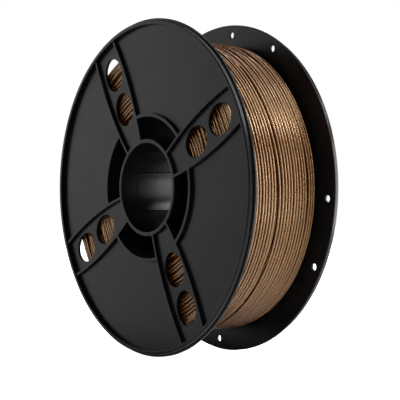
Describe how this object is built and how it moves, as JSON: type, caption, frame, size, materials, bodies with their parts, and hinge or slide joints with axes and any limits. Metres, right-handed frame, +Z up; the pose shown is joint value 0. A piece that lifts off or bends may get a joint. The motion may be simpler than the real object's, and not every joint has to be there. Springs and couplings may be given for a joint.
{
  "type": "filament spool",
  "caption": "Black moulded spool with ribbed arms, oval windows and an open bore, wound with bronze-brown printing filament.",
  "frame": {"origin": "middle of the bore, halfway between the flanges", "axes": "+Y along the spool's axis towards the rear flange, the one with the small holes; +Z up"},
  "size_m": [0.2, 0.064, 0.2],
  "materials": {
    "moulded_black_plastic": "satin moulded",
    "drum_plastic": "moulded",
    "filament": "extruded, bronze-filled look"
  },
  "bodies": {
    "root": {"front_flange": "moulded_black_plastic", "rear_flange": "moulded_black_plastic", "winding_drum": "drum_plastic", "filament_winding": "filament"}
  },
  "joints": []
}
